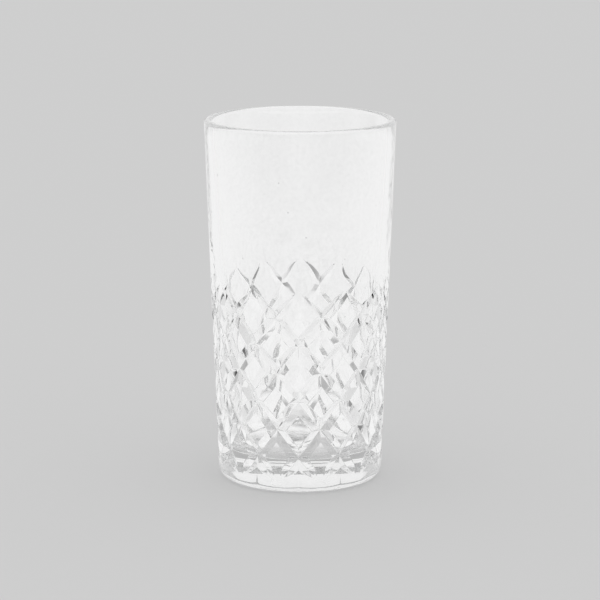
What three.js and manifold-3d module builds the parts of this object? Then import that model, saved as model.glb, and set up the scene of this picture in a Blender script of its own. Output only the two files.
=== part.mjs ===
// A tall pressed-glass tumbler, in millimetres, +Z up, standing on z = 0 with its axis on Z.
// It is one continuous body of clear glass: a thick solid base, a tapered wall with a lattice of
// V-grooves that leaves raised diamonds, and a plain drinking band up to a rounded lip.

import * as THREE from 'three';
import { mergeVertices } from 'three/addons/utils/BufferGeometryUtils.js';
import Module from 'manifold-3d';

// Outside of the body
const HEIGHT = 150;
const RIM_RADIUS = 39.3;
const FOOT_RADIUS = 33.8;
const HEEL_ROUNDING = 4.3;

// Inside of the body
const LIP_THICKNESS = 3.1;
const WALL_AT_FLOOR = 7.2;
const BASE_THICKNESS = 13;
const FLOOR_CORNER_ROUNDING = 5;

// Underside: a ring to stand on and a shallow hollow inside it
const STANDING_RING_WIDTH = 5;
const HOLLOW_DEPTH = 1;

// Lattice of grooves
const DIAMONDS_AROUND = 12;
const DIAMOND_HEIGHT = 23.4;
const LOWEST_CROSSING_HEIGHT = 15.2;
const GROOVE_FOOT_HEIGHT = 7.5;
const GROOVE_TIP_HEIGHT = 84;
const GROOVE_DEPTH = 1.55;
const GROOVE_ANGLE = THREE.MathUtils.degToRad(126);
const LOWER_FADE = 5;
const UPPER_FADE = 10;
const TIP_LIFT = 0.2;

// Fineness of the curves
const SEGMENTS_PER_DIAMOND = 4;
const STEPS_IN_ROUNDING = 5;
const STEPS_IN_LIP = 8;
const STEPS_IN_HOLLOW = 4;
const CUTTER_OVERHANG = 1.5;

const wasm = await Module();
wasm.setup();

// The straight outside ends where the lip starts to curve.
const lipRadius = LIP_THICKNESS / 2;
const lipCentreHeight = HEIGHT - lipRadius;
const outsideSlope = (RIM_RADIUS - FOOT_RADIUS) / lipCentreHeight;

function outsideRadius(height) {
  return FOOT_RADIUS + outsideSlope * height;
}

// A rounding between a level face and a wall that leans outwards, from the face up to the wall.
// The sharp corner before rounding lies at cornerRadius on the level faceHeight.
function cornerPoints(cornerRadius, faceHeight, slope, rounding) {
  const lean = Math.atan(slope);
  const centreRadius = cornerRadius - rounding * (1 - Math.sin(lean)) / Math.cos(lean);
  const centreHeight = faceHeight + rounding;
  const points = [];
  for (let step = 0; step <= STEPS_IN_ROUNDING; step += 1) {
    const start = -Math.PI / 2;
    const angle = start + (step / STEPS_IN_ROUNDING) * (-lean - start);
    const radius = centreRadius + rounding * Math.cos(angle);
    const height = centreHeight + rounding * Math.sin(angle);
    points.push(new THREE.Vector2(radius, height));
  }
  return points;
}

// Half of the section through the axis, from the middle of the underside round to the floor inside.
function sectionPoints() {
  const heel = cornerPoints(FOOT_RADIUS, 0, outsideSlope, HEEL_ROUNDING);
  const hollowRadius = heel[0].x - STANDING_RING_WIDTH;
  const points = [];
  for (let step = 0; step <= STEPS_IN_HOLLOW; step += 1) {
    const share = step / STEPS_IN_HOLLOW;
    points.push(new THREE.Vector2(hollowRadius * share, HOLLOW_DEPTH * (1 - share * share)));
  }
  points.push(...heel);

  const lipMiddle = RIM_RADIUS - lipRadius;
  for (let step = 0; step <= STEPS_IN_LIP; step += 1) {
    const angle = Math.PI * step / STEPS_IN_LIP;
    const radius = lipMiddle + lipRadius * Math.cos(angle);
    points.push(new THREE.Vector2(radius, lipCentreHeight + lipRadius * Math.sin(angle)));
  }

  const floorCorner = outsideRadius(BASE_THICKNESS) - WALL_AT_FLOOR;
  const lipInside = RIM_RADIUS - LIP_THICKNESS;
  const insideSlope = (lipInside - floorCorner) / (lipCentreHeight - BASE_THICKNESS);
  const floor = cornerPoints(floorCorner, BASE_THICKNESS, insideSlope, FLOOR_CORNER_ROUNDING);
  points.push(...floor.reverse());
  points.push(new THREE.Vector2(0, BASE_THICKNESS));
  return points;
}

function solidFrom(geometry) {
  const bare = geometry.clone();
  bare.deleteAttribute('normal');
  bare.deleteAttribute('uv');
  const merged = mergeVertices(bare, 1e-4);
  return new wasm.Manifold(new wasm.Mesh({
    numProp: 3,
    vertProperties: new Float32Array(merged.attributes.position.array),
    triVerts: new Uint32Array(merged.index.array),
  }));
}

function geometryFrom(solid) {
  const mesh = solid.getMesh();
  const indexed = new THREE.BufferGeometry();
  indexed.setAttribute('position', new THREE.BufferAttribute(mesh.vertProperties, mesh.numProp));
  indexed.setIndex(new THREE.BufferAttribute(mesh.triVerts, 1));
  const geometry = indexed.toNonIndexed();
  geometry.computeVertexNormals();
  return geometry;
}

// Full depth through the lattice, easing out past the wall's surface at both tips, as a wheel lifts off.
function grooveDepth(height) {
  const climb = (height - LOWEST_CROSSING_HEIGHT) / (GROOVE_TIP_HEIGHT - LOWEST_CROSSING_HEIGHT);
  const drop = (LOWEST_CROSSING_HEIGHT - height) / (LOWEST_CROSSING_HEIGHT - GROOVE_FOOT_HEIGHT);
  const lost = Math.pow(Math.max(climb, 0), UPPER_FADE) + Math.pow(Math.max(drop, 0), LOWER_FADE);
  return GROOVE_DEPTH - (GROOVE_DEPTH + TIP_LIFT) * lost;
}

// Heights where a groove meets the edges of the blank's flat segments, with its two tips added.
function grooveHeights() {
  const stepHeight = DIAMOND_HEIGHT / SEGMENTS_PER_DIAMOND;
  const first = Math.floor((GROOVE_FOOT_HEIGHT - LOWEST_CROSSING_HEIGHT) / stepHeight) + 1;
  const last = Math.ceil((GROOVE_TIP_HEIGHT - LOWEST_CROSSING_HEIGHT) / stepHeight) - 1;
  const heights = [GROOVE_FOOT_HEIGHT];
  for (let step = first; step <= last; step += 1) {
    heights.push(LOWEST_CROSSING_HEIGHT + step * stepHeight);
  }
  heights.push(GROOVE_TIP_HEIGHT);
  return heights;
}

// One groove's cutter: a V swept up the wall along a line that turns round it to one hand.
// All the grooves of both hands meet in pairs at the lowest crossing height.
function grooveCutter(index, hand) {
  const pitch = 2 * Math.PI / DIAMONDS_AROUND;
  const turnPerHeight = hand * pitch / DIAMOND_HEIGHT;
  const heights = grooveHeights();
  const steps = heights.length - 1;
  const corners = [];
  for (const height of heights) {
    const angle = index * pitch + (height - LOWEST_CROSSING_HEIGHT) * turnPerHeight;
    const radius = outsideRadius(height);
    const outwards = new THREE.Vector3(Math.cos(angle), Math.sin(angle), 0);
    const round = new THREE.Vector3(-Math.sin(angle), Math.cos(angle), 0);
    const along = round.clone().multiplyScalar(radius * turnPerHeight).add(new THREE.Vector3(0, 0, 1));
    const across = along.clone().normalize().cross(outwards);
    const depth = grooveDepth(height);
    const halfWidth = (depth + CUTTER_OVERHANG) * Math.tan(GROOVE_ANGLE / 2);
    const middle = outwards.clone().multiplyScalar(radius).setZ(height);
    const bottom = middle.clone().addScaledVector(outwards, -depth);
    const top = middle.clone().addScaledVector(outwards, CUTTER_OVERHANG);
    corners.push(bottom);
    corners.push(top.clone().addScaledVector(across, halfWidth));
    corners.push(top.clone().addScaledVector(across, -halfWidth));
  }

  const faces = [0, 1, 2];
  for (let step = 0; step < steps; step += 1) {
    for (let side = 0; side < 3; side += 1) {
      const here = 3 * step + side;
      const next = 3 * step + (side + 1) % 3;
      faces.push(here, here + 3, next);
      faces.push(next, here + 3, next + 3);
    }
  }
  const last = 3 * steps;
  faces.push(last, last + 2, last + 1);

  const geometry = new THREE.BufferGeometry().setFromPoints(corners);
  geometry.setIndex(faces);
  return solidFrom(geometry);
}

// The blank as it leaves the mould without its lattice, turned so that its axis stands on Z.
const blankGeometry = new THREE.LatheGeometry(sectionPoints(), DIAMONDS_AROUND * SEGMENTS_PER_DIAMOND);
blankGeometry.rotateX(Math.PI / 2);
let bodySolid = solidFrom(blankGeometry);
for (let index = 0; index < DIAMONDS_AROUND; index += 1) {
  bodySolid = bodySolid.subtract(grooveCutter(index, 1));
  bodySolid = bodySolid.subtract(grooveCutter(index, -1));
}

const clearGlass = new THREE.MeshStandardMaterial({
  color: 0xf2f4f7,
  roughness: 0.03,
  metalness: 0,
  transparent: true,
  opacity: 0.35,
});

const body = new THREE.Mesh(geometryFrom(bodySolid), clearGlass);
body.name = 'glass_body';

const tumbler = new THREE.Group();
tumbler.name = 'tall_tumbler';
tumbler.add(body);

export default tumbler;
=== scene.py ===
# %% [markdown]
# # A tall tumbler of pressed glass
# This lesson builds one drinking glass as a single body of clear glass. The lower wall carries a lattice
# of V-grooves that leaves raised diamonds, and the upper wall is a plain drinking band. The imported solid
# gives the place and the size, and this script adds the fine surface and the finish.

import math

import bpy
import numpy as np
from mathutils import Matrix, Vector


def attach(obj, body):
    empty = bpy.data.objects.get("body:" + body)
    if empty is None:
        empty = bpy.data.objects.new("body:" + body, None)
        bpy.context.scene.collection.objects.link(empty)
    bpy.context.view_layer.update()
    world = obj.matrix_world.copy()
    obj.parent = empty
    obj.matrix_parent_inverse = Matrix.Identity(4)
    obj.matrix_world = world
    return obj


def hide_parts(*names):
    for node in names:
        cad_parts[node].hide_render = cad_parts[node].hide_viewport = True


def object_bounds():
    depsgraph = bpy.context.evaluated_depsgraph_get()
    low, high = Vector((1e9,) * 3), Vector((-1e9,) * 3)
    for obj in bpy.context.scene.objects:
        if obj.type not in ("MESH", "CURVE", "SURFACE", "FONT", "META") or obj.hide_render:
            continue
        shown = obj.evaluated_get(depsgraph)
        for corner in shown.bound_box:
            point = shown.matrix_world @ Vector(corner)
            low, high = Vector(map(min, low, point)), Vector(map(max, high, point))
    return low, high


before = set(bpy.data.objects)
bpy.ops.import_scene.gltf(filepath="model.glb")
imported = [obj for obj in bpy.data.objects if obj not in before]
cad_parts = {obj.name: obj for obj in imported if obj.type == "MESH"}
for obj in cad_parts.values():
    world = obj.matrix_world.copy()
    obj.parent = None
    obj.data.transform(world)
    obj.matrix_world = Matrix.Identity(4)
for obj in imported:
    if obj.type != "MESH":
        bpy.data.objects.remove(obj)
cad_low, cad_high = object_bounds()
print("solid from", tuple(cad_low), "to", tuple(cad_high))

# %% [markdown]
# ## Sizes
# The height and the rim come from the solid's box, so that the fine surface can't grow past it. The
# other sizes repeat those of the solid, in metres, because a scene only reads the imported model.

# %% Sizes of the body
MM = 0.001
HEIGHT = cad_high.z
RIM_RADIUS = cad_high.x
FOOT_RADIUS = 33.8 * MM
HEEL_ROUNDING = 4.3 * MM
LIP_THICKNESS = 3.1 * MM
WALL_AT_FLOOR = 7.2 * MM
BASE_THICKNESS = 13 * MM
FLOOR_CORNER_ROUNDING = 5 * MM
STANDING_RING_WIDTH = 5 * MM
HOLLOW_DEPTH = 1 * MM

lip_radius = LIP_THICKNESS / 2
lip_centre_height = HEIGHT - lip_radius
outside_slope = (RIM_RADIUS - FOOT_RADIUS) / lip_centre_height
outside_lean = math.atan(outside_slope)
print("the wall leans out by", round(math.degrees(outside_lean), 2), "degrees")

# %% [markdown]
# ## The outside as a line that is followed up the wall
# A turned body is one line spun round an axis. Here the line is measured by its length from the level of
# the foot, so that a groove can run down the straight wall and round the heel without a break: positive
# lengths lie on the wall, and the heel's arc takes the line down to the ring that the glass stands on.

# %% Points on the outside line
heel_centre_radius = FOOT_RADIUS - HEEL_ROUNDING * (1 - math.sin(outside_lean)) / math.cos(outside_lean)
heel_top = HEEL_ROUNDING * (1 - math.sin(outside_lean))
heel_arc = math.pi / 2 - outside_lean
heel_bottom = heel_top - HEEL_ROUNDING * heel_arc


def outside_point(length, depth):
    """Radius and height of points on the outside line, sunk into the glass by a depth."""
    turn = np.clip((heel_top - length) / HEEL_ROUNDING, 0, heel_arc) + outside_lean
    wall = np.maximum(length, heel_top)
    radius_on_wall = FOOT_RADIUS + outside_slope * wall - depth * np.cos(turn)
    height_on_wall = wall + depth * np.sin(turn)
    radius_on_heel = heel_centre_radius + (HEEL_ROUNDING - depth) * np.cos(turn)
    height_on_heel = HEEL_ROUNDING - (HEEL_ROUNDING - depth) * np.sin(turn)
    on_heel = length < heel_top
    radius = np.where(on_heel, radius_on_heel, radius_on_wall)
    height = np.where(on_heel, height_on_heel, height_on_wall)
    return radius, height


print("heel line ends at", round(heel_bottom / MM, 2), "mm")

# %% [markdown]
# ## The lattice
# The real pattern is two sets of V-grooves that climb the wall to the left and to the right and cross
# each other. A groove keeps its depth through the lattice and eases out to a fine tip in the band and
# another above the heel, as if the cutting wheel had lifted off. Cutting with booleans would leave thin,
# uneven triangles that show in clear glass. So the mesh is laid out along the grooves instead: its lines
# run beside both sets, and every groove, ridge and diamond edge falls on a line.

# %% Sizes of the lattice
DIAMONDS_AROUND = 12
DIAMOND_HEIGHT = 23.4 * MM
LOWEST_CROSSING_HEIGHT = 15.2 * MM
GROOVE_TIP_HEIGHT = 84 * MM
GROOVE_FOOT_HEIGHT = 7.5 * MM
GROOVE_DEPTH = 1.55 * MM
GROOVE_ANGLE = math.radians(126)
UPPER_FADE = 10
LOWER_FADE = 5

pitch = 2 * math.pi / DIAMONDS_AROUND
side_slope = 1 / math.tan(GROOVE_ANGLE / 2)


def groove_depth(length):
    """Depth of a groove at a length up the outside line: full in the lattice, nothing past its two tips."""
    climb = (length - LOWEST_CROSSING_HEIGHT) / (GROOVE_TIP_HEIGHT - LOWEST_CROSSING_HEIGHT)
    drop = (LOWEST_CROSSING_HEIGHT - length) / (LOWEST_CROSSING_HEIGHT - GROOVE_FOOT_HEIGHT)
    lost = np.clip(climb, 0, 1) ** UPPER_FADE + np.clip(drop, 0, 1) ** LOWER_FADE
    return GROOVE_DEPTH * (1 - lost)


print("grooves open at", round(math.degrees(GROOVE_ANGLE)), "degrees")

# %% [markdown]
# Along the lattice, a place is two numbers: how many grooves of one hand and how many of the other lie
# behind it. Half their sum is the turn round the axis in diamonds, and half their difference is the
# climb in diamonds. Under the lowest full diamond the climb is pressed together, so that the last mesh
# line is the standing ring.

# %% From lattice climb to length up the wall
DIAMONDS_BELOW = 1.0
DIAMONDS_ABOVE = 3.5
squeeze_start = LOWEST_CROSSING_HEIGHT - DIAMOND_HEIGHT / 2
squeeze_from = DIAMOND_HEIGHT * (DIAMONDS_BELOW - 0.5)
squeeze_to = squeeze_start - heel_bottom
squeeze = 1 / squeeze_to - 1 / squeeze_from


def length_at(climb):
    straight = LOWEST_CROSSING_HEIGHT + DIAMOND_HEIGHT * climb
    below = np.maximum(squeeze_start - straight, 0)
    return np.where(below > 0, squeeze_start - below / (1 + below * squeeze), straight)


def groove_spacing(length):
    """Distance between neighbouring grooves of one hand, square to the groove."""
    across = (FOOT_RADIUS + outside_slope * np.maximum(length, 0)) * pitch
    return across * DIAMOND_HEIGHT / np.hypot(across, DIAMOND_HEIGHT)


def side_fall(length):
    """How fast the round wall falls away from a flat groove side, per square of the distance."""
    radius = FOOT_RADIUS + outside_slope * np.maximum(length, 0)
    upright = DIAMOND_HEIGHT / np.hypot(radius * pitch, DIAMOND_HEIGHT)
    return upright**2 / (2 * radius)


print("lattice runs from", length_at(-DIAMONDS_BELOW), "to", length_at(DIAMONDS_ABOVE))

# %% [markdown]
# ## Laying the mesh lines
# Across each diamond, some lines belong to a groove's side and some to the flat top. They gather at the
# edges, because smooth shading then rounds each edge over a fraction of a millimetre, as fire-polishing
# does.

# %% Lines across a diamond
SIDE_LINES = 9
TOP_LINES = 8
LINES = 2 * SIDE_LINES + TOP_LINES
GATHER = 0.8
LEAST_SIDE = 0.03


def gathered(share):
    return share - GATHER * np.sin(2 * np.pi * share) / (2 * np.pi)


def across_diamond(line, edge):
    """Place across a diamond from 0 to 1 for a line number, with the diamond's edge at a given place."""
    low_side = edge * gathered(np.clip(line / SIDE_LINES, 0, 1))
    top = (1 - 2 * edge) * gathered(np.clip((line - SIDE_LINES) / TOP_LINES, 0, 1))
    high_side = edge * gathered(np.clip((line - SIDE_LINES - TOP_LINES) / SIDE_LINES, 0, 1))
    return low_side + top + high_side


def edge_place(length):
    """Where the groove's side comes out of the wall, as a share of the spacing."""
    fall = side_fall(length)
    depth = groove_depth(length)
    reach = (np.sqrt(side_slope**2 + 4 * fall * depth) - side_slope) / (2 * fall)
    return np.maximum(reach / groove_spacing(length), LEAST_SIDE)


print("mesh lines across a diamond:", LINES)

# %% [markdown]
# A mesh line's place depends on the groove's width there, and the width on the height of the place. A
# few rounds of placing and measuring settle both. The depth then follows from the nearest groove of each
# hand.

# %% Lattice points
SETTLE_ROUNDS = 6

columns = DIAMONDS_AROUND * LINES
rows_below = round(2 * DIAMONDS_BELOW * LINES)
rows = rows_below + round(2 * DIAMONDS_ABOVE * LINES)
first = np.arange(columns)[None, :] + np.zeros((rows + 1, 1), int)
second = first + np.arange(rows + 1)[:, None] - rows_below
climb = (second - first) / (2 * LINES)
for settle in range(SETTLE_ROUNDS):
    edge = edge_place(length_at(climb))
    first_place = across_diamond(first % LINES, edge)
    second_place = across_diamond(second % LINES, edge)
    first_count = first // LINES + first_place
    second_count = second // LINES + second_place
    climb = (second_count - first_count) / 2

angle = (first_count + second_count) / 2 * pitch
length = length_at(climb)


def side_depth(place):
    distance = np.minimum(place, 1 - place) * groove_spacing(length)
    return groove_depth(length) - side_slope * distance - side_fall(length) * distance**2


depth = np.maximum(np.maximum(side_depth(first_place), side_depth(second_place)), 0)
lattice_radius, lattice_height = outside_point(length, depth)
print("deepest groove", round(depth.max() / MM, 2), "mm, lattice points", depth.size)

# %% [markdown]
# ## The plain turned parts
# Above the lattice the line goes straight up to the lip, over its half round and down the tapered inside
# to the floor. Below the lattice it goes in under the standing ring and up into a shallow hollow. These
# stretches repeat the angles of the lattice's top and bottom lines, so the whole glass is one closed
# mesh.

# %% Lines of the turned parts
BAND_STEPS = 12
LIP_STEPS = 16
INSIDE_STEPS = 24
CORNER_STEPS = 12
FLOOR_STEPS = 10
RING_STEPS = 3
HOLLOW_STEPS = 10


def steps(count):
    return np.arange(1, count + 1) / count


band_start = length_at(DIAMONDS_ABOVE)
band_height = band_start + (lip_centre_height - band_start) * steps(BAND_STEPS)
band_radius = FOOT_RADIUS + outside_slope * band_height

lip_angle = math.pi * steps(LIP_STEPS)
lip_line_radius = RIM_RADIUS - lip_radius + lip_radius * np.cos(lip_angle)
lip_line_height = lip_centre_height + lip_radius * np.sin(lip_angle)

floor_corner = FOOT_RADIUS + outside_slope * BASE_THICKNESS - WALL_AT_FLOOR
lip_inside = RIM_RADIUS - LIP_THICKNESS
inside_slope = (lip_inside - floor_corner) / (lip_centre_height - BASE_THICKNESS)
inside_lean = math.atan(inside_slope)
corner_centre = floor_corner - FLOOR_CORNER_ROUNDING * (1 - math.sin(inside_lean)) / math.cos(inside_lean)
corner_top = BASE_THICKNESS + FLOOR_CORNER_ROUNDING * (1 - math.sin(inside_lean))
inside_height = lip_centre_height + (corner_top - lip_centre_height) * steps(INSIDE_STEPS)
inside_radius = floor_corner + inside_slope * (inside_height - BASE_THICKNESS)

corner_angle = inside_lean + (math.pi / 2 - inside_lean) * steps(CORNER_STEPS)
corner_radius = corner_centre + FLOOR_CORNER_ROUNDING * np.cos(corner_angle)
corner_height = BASE_THICKNESS + FLOOR_CORNER_ROUNDING * (1 - np.sin(corner_angle))

floor_radius = corner_centre * (1 - steps(FLOOR_STEPS))
floor_height = np.full(FLOOR_STEPS, BASE_THICKNESS)

upper_radius = np.concatenate([band_radius, lip_line_radius, inside_radius, corner_radius, floor_radius])
upper_height = np.concatenate([band_height, lip_line_height, inside_height, corner_height, floor_height])

hollow_radius = heel_centre_radius - STANDING_RING_WIDTH
hollow_share = np.arange(HOLLOW_STEPS + 1) / HOLLOW_STEPS
ring_share = steps(RING_STEPS)[:-1]
ring_radius = hollow_radius + STANDING_RING_WIDTH * ring_share
lower_radius = np.concatenate([hollow_radius * hollow_share, ring_radius])
lower_height = np.concatenate([HOLLOW_DEPTH * (1 - hollow_share**2), np.zeros(RING_STEPS - 1)])
print("turned lines above and below the lattice:", len(upper_radius), len(lower_radius))

# %% [markdown]
# ## One closed mesh
# The rows are stacked from the middle of the underside, up the outside and down to the middle of the
# floor. Each four-sided field of the lattice is split along the ridge that two crossing grooves leave,
# because the wrong split would cut across the ridge and show as a nick.

# %% Points and triangles of the body
lower_count = len(lower_radius)
upper_count = len(upper_radius)
all_radius = np.concatenate(
    [
        np.repeat(lower_radius[:, None], columns, axis=1),
        lattice_radius,
        np.repeat(upper_radius[:, None], columns, axis=1),
    ]
)
all_height = np.concatenate(
    [
        np.repeat(lower_height[:, None], columns, axis=1),
        lattice_height,
        np.repeat(upper_height[:, None], columns, axis=1),
    ]
)
all_angle = np.concatenate(
    [
        np.repeat(angle[:1], lower_count, axis=0),
        angle,
        np.repeat(angle[-1:], upper_count, axis=0),
    ]
)
points = np.stack([all_radius * np.cos(all_angle), all_radius * np.sin(all_angle), all_height], axis=-1)
point_number = np.arange(points.shape[0] * columns).reshape(-1, columns)
point_number[0] = point_number[0, 0]
point_number[-1] = point_number[-1, 0]


def turned_triangles(low, high):
    """Two triangles for each field between two neighbouring rows of the turned parts."""
    low_next = np.roll(low, -1)
    high_next = np.roll(high, -1)
    flat = np.stack([low, low_next, high_next, low, high_next, high], axis=-1)
    return flat.reshape(-1, 3)


triangles = []
for row in range(lower_count):
    triangles.append(turned_triangles(point_number[row], point_number[row + 1]))
for row in range(lower_count + rows, len(point_number) - 1):
    triangles.append(turned_triangles(point_number[row], point_number[row + 1]))

lattice = point_number[lower_count : lower_count + rows + 1]
bottom_fan = np.stack([lattice[0], np.roll(lattice[0], -1), lattice[1]], axis=-1)
triangles.append(bottom_fan)
top_fan = np.stack([lattice[-1], np.roll(lattice[-2], -1), np.roll(lattice[-1], -1)], axis=-1)
triangles.append(top_fan)

half = LINES / 2
for row in range(1, rows):
    left = lattice[row]
    bottom = np.roll(lattice[row - 1], -1)
    right = np.roll(lattice[row], -1)
    top = lattice[row + 1]
    level_ridge = (first[row] % LINES < half) == (second[row] % LINES < half)
    split_level = np.stack([left, bottom, right, left, right, top], axis=-1)
    split_upright = np.stack([left, bottom, top, bottom, right, top], axis=-1)
    triangles.append(np.where(level_ridge[:, None], split_level, split_upright).reshape(-1, 3))

triangles = np.concatenate(triangles)
pairs_differ = (triangles != np.roll(triangles, 1, axis=1)).all(axis=1)
triangles = triangles[pairs_differ]
used, packed = np.unique(triangles, return_inverse=True)
body_points = points.reshape(-1, 3)[used]
body_triangles = packed.reshape(-1, 3)
row_of_point = used // columns
body_inside = row_of_point > lower_count + rows + BAND_STEPS + LIP_STEPS
print("body has", len(body_points), "points and", len(body_triangles), "triangles")

# %% [markdown]
# ## The body as an object
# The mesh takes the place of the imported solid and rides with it. The points of the inner wall and the
# floor carry a mark, because the inside and the outside of pressed glass have different skins.

# %% Body object
body_mesh = bpy.data.meshes.new("tumbler_body")
body_mesh.from_pydata(body_points.tolist(), [], body_triangles.tolist())
body_mesh.update()
body_mesh.shade_smooth()
inside_mark = body_mesh.attributes.new("inside", "FLOAT", "POINT")
inside_mark.data.foreach_set("value", body_inside.astype(np.float32))
tumbler_body = bpy.data.objects.new("tumbler_body", body_mesh)
bpy.context.scene.collection.objects.link(tumbler_body)
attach(tumbler_body, "root")
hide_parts("glass_body")
print("points on the inside:", int(body_inside.sum()))

# %% [markdown]
# ## Helpers for node trees
# The glass, the floor and the room are all described by nodes. These few functions keep each description
# short.

# %% Helpers for nodes
def add_node(tree, kind, **settings):
    node = tree.nodes.new(kind)
    for name, value in settings.items():
        setattr(node, name, value)
    return node


def feed(tree, value, socket):
    """Links another node's output to a socket, or sets the socket to a plain value."""
    if isinstance(value, bpy.types.NodeSocket):
        tree.links.new(value, socket)
    else:
        socket.default_value = value


def worked_out(tree, operation, first, second):
    node = add_node(tree, "ShaderNodeMath", operation=operation)
    feed(tree, first, node.inputs[0])
    feed(tree, second, node.inputs[1])
    return node.outputs[0]


def stepped(tree, value, low, high, start, end):
    """A smooth step from start to end as a value goes from low to high."""
    node = add_node(tree, "ShaderNodeMapRange", interpolation_type="SMOOTHSTEP")
    for name, amount in (
        ("Value", value),
        ("From Min", low),
        ("From Max", high),
        ("To Min", start),
        ("To Max", end),
    ):
        feed(tree, amount, node.inputs[name])
    return node.outputs[0]


def mixed(tree, share, first, second):
    """A shader that goes from the first one to the second one by a share."""
    node = add_node(tree, "ShaderNodeMixShader")
    feed(tree, share, node.inputs[0])
    tree.links.new(first, node.inputs[1])
    tree.links.new(second, node.inputs[2])
    return node.outputs[0]


def grey(tone):
    return (tone, tone, tone, 1)


print("node helpers are ready")

# %% [markdown]
# ## The skin of pressed glass
# Pressed glass is smooth, but never even. The plunger that forms the inside leaves slow ripples, which
# bend the far lattice into wavy strokes. The whole skin has a faint orange peel and thin films of haze,
# a few seeds (tiny bubbles) end at the surface, and tables scuff the standing ring. Moving mesh points
# would need millions of them, so a group of nodes gives a height, a roughness and a tone that the glass
# reads. Heights are in millimetres.

# %% Sizes of the skin
RIPPLE_PER_METRE = 125
RIPPLE_DETAIL = 0.0
RIPPLE_HEIGHT = 0.3
OUTSIDE_SHARE = 0.08
BAND_SHARE = 0.12
PEEL_PER_METRE = 650
PEEL_DETAIL = 1.0
PEEL_HEIGHT = 0.0012
SEEDS_PER_METRE = 90
SEED_SIZE = 0.035
SEED_HEIGHT = 0.3
SKIN_ROUGHNESS = 0.012
HAZE_TONE = 0.975
HAZE_FROM = 0.3
HAZE_TO = 0.6
SCUFF_ROUGHNESS = 0.3
SCUFF_TOP = 0.6 * MM

skin = bpy.data.node_groups.new("pressed_skin", "ShaderNodeTree")
skin.interface.new_socket("Inside", in_out="INPUT", socket_type="NodeSocketFloat")
for name in ("Height", "Roughness", "Tone"):
    skin.interface.new_socket(name, in_out="OUTPUT", socket_type="NodeSocketFloat")
skin_in = add_node(skin, "NodeGroupInput")
skin_out = add_node(skin, "NodeGroupOutput")
skin_place = add_node(skin, "ShaderNodeTexCoord").outputs["Object"]
skin_axes = add_node(skin, "ShaderNodeSeparateXYZ")
feed(skin, skin_place, skin_axes.inputs[0])
up_the_wall = skin_axes.outputs["Z"]
print("ripples are about", round(1000 / RIPPLE_PER_METRE, 1), "mm wide")

# %% [markdown]
# The ripples are strong on the inside behind the lattice, where the plunger chilled the thick wall, and
# weak in the band and on the outside, which the mould and the flame leave smooth. The fine grain serves
# three times: as the peel's height, as the spread of the roughness and as the haze.

# %% Height, roughness and tone of the skin
def noise(per_metre, detail):
    node = add_node(skin, "ShaderNodeTexNoise")
    feed(skin, skin_place, node.inputs["Vector"])
    feed(skin, per_metre, node.inputs["Scale"])
    feed(skin, detail, node.inputs["Detail"])
    return node.outputs["Fac"]


band_end = GROOVE_TIP_HEIGHT + DIAMOND_HEIGHT
outside_height = RIPPLE_HEIGHT * OUTSIDE_SHARE
ripple_height = stepped(skin, skin_in.outputs["Inside"], 0.0, 1.0, outside_height, RIPPLE_HEIGHT)
ripple_share = stepped(skin, up_the_wall, GROOVE_TIP_HEIGHT, band_end, 1.0, BAND_SHARE)
ripple_height = worked_out(skin, "MULTIPLY", ripple_height, ripple_share)
ripple = worked_out(skin, "MULTIPLY", noise(RIPPLE_PER_METRE, RIPPLE_DETAIL), ripple_height)
grain = noise(PEEL_PER_METRE, PEEL_DETAIL)
peel = worked_out(skin, "MULTIPLY", grain, PEEL_HEIGHT)

seeds = add_node(skin, "ShaderNodeTexVoronoi")
feed(skin, skin_place, seeds.inputs["Vector"])
feed(skin, float(SEEDS_PER_METRE), seeds.inputs["Scale"])
seed_height = stepped(skin, seeds.outputs["Distance"], 0.0, SEED_SIZE, SEED_HEIGHT, 0.0)
skin_height = worked_out(skin, "ADD", worked_out(skin, "ADD", ripple, peel), seed_height)
feed(skin, skin_height, skin_out.inputs["Height"])

scuffed = stepped(skin, up_the_wall, 0.0, SCUFF_TOP, SCUFF_ROUGHNESS, SKIN_ROUGHNESS)
feed(skin, worked_out(skin, "MULTIPLY", scuffed, grain), skin_out.inputs["Roughness"])
haze = stepped(skin, grain, HAZE_FROM, HAZE_TO, HAZE_TONE, 1.0)
feed(skin, haze, skin_out.inputs["Tone"])
print("skin group has", len(skin.nodes), "nodes")

# %% [markdown]
# ## Clear glass
# The glass bends light by the index of soda-lime glass. A glass shader alone would do, but the
# Principled shader also goes out with the exported model. A weak absorption takes a little light out of
# long paths, so that the thick base and the edges look a touch greyer than the thin band.

# %% Glass material
GLASS_INDEX = 1.52
ABSORPTION_COLOUR = (0.6, 0.63, 0.63, 1)
ABSORPTION_DENSITY = 0.6

clear_glass = bpy.data.materials.new("clear_glass")
clear_glass.use_nodes = True
glass = clear_glass.node_tree
glass_shader = glass.nodes["Principled BSDF"]
glass_shader.inputs["IOR"].default_value = GLASS_INDEX
glass_shader.inputs["Transmission Weight"].default_value = 1.0

glass_inside = add_node(glass, "ShaderNodeAttribute", attribute_name="inside")
glass_skin = add_node(glass, "ShaderNodeGroup", node_tree=skin)
feed(glass, glass_inside.outputs["Fac"], glass_skin.inputs["Inside"])
feed(glass, glass_skin.outputs["Tone"], glass_shader.inputs["Base Color"])
feed(glass, glass_skin.outputs["Roughness"], glass_shader.inputs["Roughness"])
glass_bump = add_node(glass, "ShaderNodeBump")
feed(glass, MM, glass_bump.inputs["Distance"])
feed(glass, glass_skin.outputs["Height"], glass_bump.inputs["Height"])
feed(glass, glass_bump.outputs["Normal"], glass_shader.inputs["Normal"])

glass_depth = add_node(glass, "ShaderNodeVolumeAbsorption")
glass_depth.inputs["Color"].default_value = ABSORPTION_COLOUR
glass_depth.inputs["Density"].default_value = ABSORPTION_DENSITY
feed(glass, glass_depth.outputs[0], glass.nodes["Material Output"].inputs["Volume"])
body_mesh.materials.append(clear_glass)
print("glass index", GLASS_INDEX)

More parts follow.
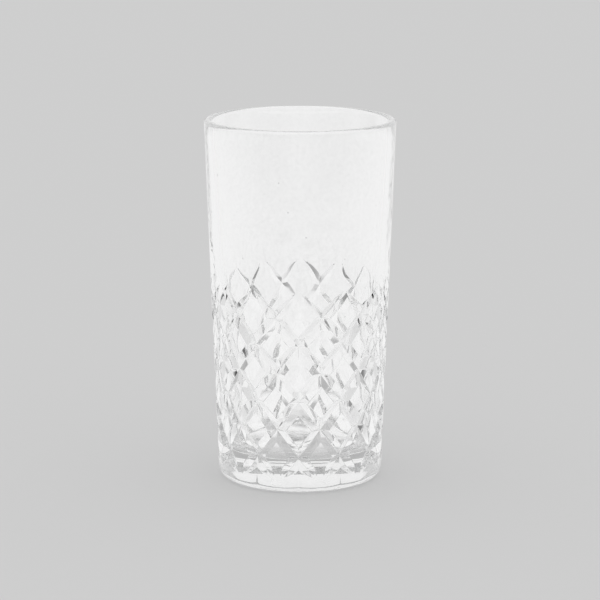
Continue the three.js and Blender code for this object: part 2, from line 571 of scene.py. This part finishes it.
# %% [markdown]
# ## What stands round the glass
# Clear glass has no look of its own: it bends and mirrors what stands round it. A product photographer
# lights the cloth behind the glass, keeps dark strips low down at both sides and a dim ceiling, and
# those tones draw the edges of the diamonds. A picture of a studio would do the same, but a few rings of
# grey tones are enough: each ring gives tones at some angles from straight behind, and the rings are
# blended by height or by distance.

# %% Rings of tones
FULL_TURN = 360
BEHIND_SHARE = 0.5


def ring_of_tones(tree, turn, tones):
    """Grey tones round the glass, given by the angle in degrees from straight behind."""
    node = add_node(tree, "ShaderNodeValToRGB")
    stops = node.color_ramp.elements
    while len(stops) < len(tones):
        stops.new(BEHIND_SHARE)
    for stop, turned in zip(stops, sorted(tones)):
        stop.position = turned / FULL_TURN + BEHIND_SHARE
        stop.color = grey(tones[turned])
    feed(tree, turn, node.inputs[0])
    return node.outputs["Color"]


def turn_from_behind(tree, axes):
    """Angle round the glass as a share of a full turn, with straight behind at one half."""
    turned = worked_out(tree, "ARCTAN2", axes.outputs["X"], axes.outputs["Y"])
    share = worked_out(tree, "DIVIDE", turned, 2 * math.pi)
    return worked_out(tree, "ADD", share, BEHIND_SHARE)


def both_sides(tones):
    """The same tones to the left and to the right."""
    return {side * turned: tone for turned, tone in tones.items() for side in (-1, 1)}


print("rings of tones are ready")

# %% [markdown]
# ## The floor
# The camera sees a plain pale floor with a soft shadow. Light that reaches the camera through the glass,
# or off it, sees the lit set instead, painted in tones. From the glass outwards that is painted shade
# under the front of the base, a painted bright ring of light such as the glass throws on the table, with
# a painted shadow of the glass straight behind, then greyer sides, the lit cloth, and far away the dark
# strips, the dim studio towards the camera and two narrow strips behind. Distances are in metres, angles in
# degrees.

# %% Tones of the floor
FLOOR_TONE = 0.62
SHADOW_SHARE = 0.35
SET_SHADOW_SHARE = 0.1
# Painted shade on the floor under the front of the base, lighter under the back; only rays off or through
# the glass see it.
PAINTED_SHADE_UNDER_TONES = both_sides({0: 0.98, 40: 0.95, 70: 0.6, 180: 0.58})
UNDER_END = 0.034
NEAR_START = 0.048
# Painted shadow of the glass straight behind it, and round it a painted bright ring of light such as the
# glass throws on the table.
PAINTED_LIGHT_AND_SHADOW_TONES = both_sides({0: 0.45, 15: 0.45, 24: 0.97, 180: 0.97})
NEAR_END = 0.07
CLOSE_START = 0.083
CLOSE_TONES = both_sides({0: 0.94, 50: 0.92, 66: 0.74, 110: 0.74, 180: 0.86})
OPEN_START = 0.22
OPEN_END = 0.31
OPEN_TONES = both_sides({0: 0.88, 8: 0.885, 20: 0.905, 50: 0.89, 80: 0.88, 120: 0.82, 180: 0.86})
FAR_START = 0.9
FAR_END = 1.8
CAMERA_SIDE_TONES = both_sides({100: 0.5, 120: 0.1, 150: 0.1, 180: 0.5})
LEFT_TONES = {-88: 0.15, -62: 0.03, -52: 0.65, -38: 0.65, -22: 0.88}
RIGHT_TONES = {0: 0.88, 22: 0.88, 38: 0.65, 52: 0.65, 62: 0.2, 85: 0.3}
FAR_TONES = {**CAMERA_SIDE_TONES, **LEFT_TONES, **RIGHT_TONES}
EDGE_START = 2.0
EDGE_END = 3.0
BEHIND_TONES = both_sides({1: 0.88, 3: 0.3, 12: 0.3, 15: 0.88})
EDGE_TONES = {**FAR_TONES, **BEHIND_TONES}
floor_rings = (
    (UNDER_END, NEAR_START, PAINTED_LIGHT_AND_SHADOW_TONES),
    (NEAR_END, CLOSE_START, CLOSE_TONES),
    (OPEN_START, OPEN_END, OPEN_TONES),
    (FAR_START, FAR_END, FAR_TONES),
    (EDGE_START, EDGE_END, EDGE_TONES),
)
print("rings on the floor:", len(floor_rings))

# %% [markdown]
# The floor is one large flat face just under the standing ring. It isn't part of the tumbler.

# %% Floor
FLOOR_HALF_WIDTH = 6.0
FLOOR_LEVEL = -0.05 * MM

floor_mesh = bpy.data.meshes.new("floor")
corners = [(-1, -1), (1, -1), (1, 1), (-1, 1)]
floor_points = [(x * FLOOR_HALF_WIDTH, y * FLOOR_HALF_WIDTH, FLOOR_LEVEL) for x, y in corners]
floor_mesh.from_pydata(floor_points, [], [(0, 1, 2, 3)])
floor = bpy.data.objects.new("floor", floor_mesh)
bpy.context.scene.collection.objects.link(floor)
print("floor is", 2 * FLOOR_HALF_WIDTH, "m wide")

# %% [markdown]
# Light Path tells which kind of ray has reached the floor. A sharp ray through glass counts as glossy
# and as transmission, so both tests lead to the set. Part of each look is matt and takes the tumbler's
# shadow.

# %% Floor material
pale_floor = bpy.data.materials.new("pale_floor")
pale_floor.use_nodes = True
ground = pale_floor.node_tree
ground.nodes.clear()
ground_place = add_node(ground, "ShaderNodeNewGeometry").outputs["Position"]
ground_axes = add_node(ground, "ShaderNodeSeparateXYZ")
feed(ground, ground_place, ground_axes.inputs[0])
ground_reach = add_node(ground, "ShaderNodeVectorMath", operation="LENGTH")
feed(ground, ground_place, ground_reach.inputs[0])
reach = ground_reach.outputs["Value"]
ground_turn = turn_from_behind(ground, ground_axes)
set_tone = ring_of_tones(ground, ground_turn, PAINTED_SHADE_UNDER_TONES)
for ring_start, ring_end, tones in floor_rings:
    ring_tone = ring_of_tones(ground, ground_turn, tones)
    set_tone = stepped(ground, reach, ring_start, ring_end, set_tone, ring_tone)


def floor_shader(tone, shadow_share):
    """Floor of one tone: one part of it takes the shadow, the rest glows."""
    glow = add_node(ground, "ShaderNodeEmission")
    matt = add_node(ground, "ShaderNodeBsdfDiffuse")
    for node in (glow, matt):
        feed(ground, tone, node.inputs["Color"])
    return mixed(ground, shadow_share, glow.outputs[0], matt.outputs[0])


ground_path = add_node(ground, "ShaderNodeLightPath")
floor_look = floor_shader(grey(FLOOR_TONE), SHADOW_SHARE)
floor_set = floor_shader(set_tone, SET_SHADOW_SHARE)
for kind in ("Is Glossy Ray", "Is Transmission Ray"):
    floor_look = mixed(ground, ground_path.outputs[kind], floor_look, floor_set)
ground_out = add_node(ground, "ShaderNodeOutputMaterial")
feed(ground, floor_look, ground_out.inputs["Surface"])
floor_mesh.materials.append(pale_floor)
print("floor material has", len(ground.nodes), "nodes")

# %% [markdown]
# ## The room
# Soft, even light comes from all round, as inside a light tent, so no lamp is needed. What the glass
# shows of the room goes on from the floor: the strips end a little above the table, the studio is dim
# low down towards the camera and high up at both sides, and so is the ceiling. Heights are sines of
# the angle above the horizon.

# %% Tones of the room
ROOM_LIGHT = 1.0
STRIP_START = 0.03
STRIP_END = 0.055
LOW_TONES = both_sides(
    {0: 0.82, 30: 0.88, 50: 0.92, 80: 0.8, 105: 0.68, 115: 0.2, 150: 0.2, 180: 0.35}
)
MIDDLE_START = 0.17
MIDDLE_END = 0.35
MIDDLE_TONES = both_sides({0: 0.9, 40: 0.85, 60: 0.7, 120: 0.7, 180: 0.9})
HIGH_START = 0.5
HIGH_END = 0.66
HIGH_TONES = both_sides({0: 0.85, 18: 0.85, 35: 0.22, 50: 0.22, 75: 0.28, 110: 0.4, 180: 0.85})
TOP_START = 0.8
TOP_END = 0.92
TOP_TONE = 0.25
room_rings = (
    (STRIP_START, STRIP_END, LOW_TONES),
    (MIDDLE_START, MIDDLE_END, MIDDLE_TONES),
    (HIGH_START, HIGH_END, HIGH_TONES),
)
print("rings in the room:", len(room_rings))

# %% [markdown]
# The room is the world's background. It lights the scene evenly, shows the camera the floor's own tone
# above the horizon, and shows the glass the rings.

# %% Room light
world = bpy.data.worlds.new("studio")
bpy.context.scene.world = world
world.use_nodes = True
room = world.node_tree
room.nodes.clear()
room_axes = add_node(room, "ShaderNodeSeparateXYZ")
feed(room, add_node(room, "ShaderNodeTexCoord").outputs["Generated"], room_axes.inputs[0])
room_up = room_axes.outputs["Z"]
room_turn = turn_from_behind(room, room_axes)
room_tone = ring_of_tones(room, room_turn, EDGE_TONES)
for ring_start, ring_end, tones in room_rings:
    ring_tone = ring_of_tones(room, room_turn, tones)
    room_tone = stepped(room, room_up, ring_start, ring_end, room_tone, ring_tone)
room_tone = stepped(room, room_up, TOP_START, TOP_END, room_tone, TOP_TONE)


def room_shader(strength):
    node = add_node(room, "ShaderNodeBackground")
    feed(room, grey(1), node.inputs["Color"])
    feed(room, strength, node.inputs["Strength"])
    return node.outputs[0]


room_path = add_node(room, "ShaderNodeLightPath")
room_look = room_shader(ROOM_LIGHT)
room_look = mixed(room, room_path.outputs["Is Camera Ray"], room_look, room_shader(FLOOR_TONE))
room_set = room_shader(room_tone)
for kind in ("Is Glossy Ray", "Is Transmission Ray"):
    room_look = mixed(room, room_path.outputs[kind], room_look, room_set)
room_out = add_node(room, "ShaderNodeOutputWorld")
feed(room, room_look, room_out.inputs["Surface"])
print("room light", ROOM_LIGHT)

# %% [markdown]
# ## The camera
# The rim's ellipse gives the height of the camera above the level: it is about a fifth as high as it is
# wide. A long lens from about a metre keeps the wall's two sides as straight and as little converging as
# in the photograph. The small turn puts the columns of diamonds where they stand there.

# %% Camera
CAMERA_DISTANCE = 1.088
CAMERA_LENS = 157.6
SENSOR_WIDTH = 36
CAMERA_ELEVATION = math.radians(11.87)
CAMERA_TURN = math.radians(1.0)
AIM_HEIGHT = 74.1 * MM

camera_data = bpy.data.cameras.new("camera")
camera_data.lens = CAMERA_LENS
camera_data.sensor_width = SENSOR_WIDTH
camera = bpy.data.objects.new("camera", camera_data)
bpy.context.scene.collection.objects.link(camera)
level = CAMERA_DISTANCE * math.cos(CAMERA_ELEVATION)
camera.location = (
    level * math.sin(CAMERA_TURN),
    -level * math.cos(CAMERA_TURN),
    AIM_HEIGHT + CAMERA_DISTANCE * math.sin(CAMERA_ELEVATION),
)
camera.rotation_euler = (math.pi / 2 - CAMERA_ELEVATION, 0, CAMERA_TURN)
bpy.context.scene.camera = camera
print("camera at", tuple(round(value, 3) for value in camera.location))

# %% [markdown]
# ## The end
# Standard colours show a tone as it is written. Light crosses four or more faces of the glass on its
# way, and many more in the base, so the number of bounces goes up: with Blender's usual number the base
# would have black spots.

# %% Finish
BOUNCES = 40
bpy.context.scene.view_settings.view_transform = "Standard"
bpy.context.scene.cycles.max_bounces = BOUNCES
bpy.context.scene.cycles.transmission_bounces = BOUNCES
bpy.context.scene.cycles.glossy_bounces = BOUNCES
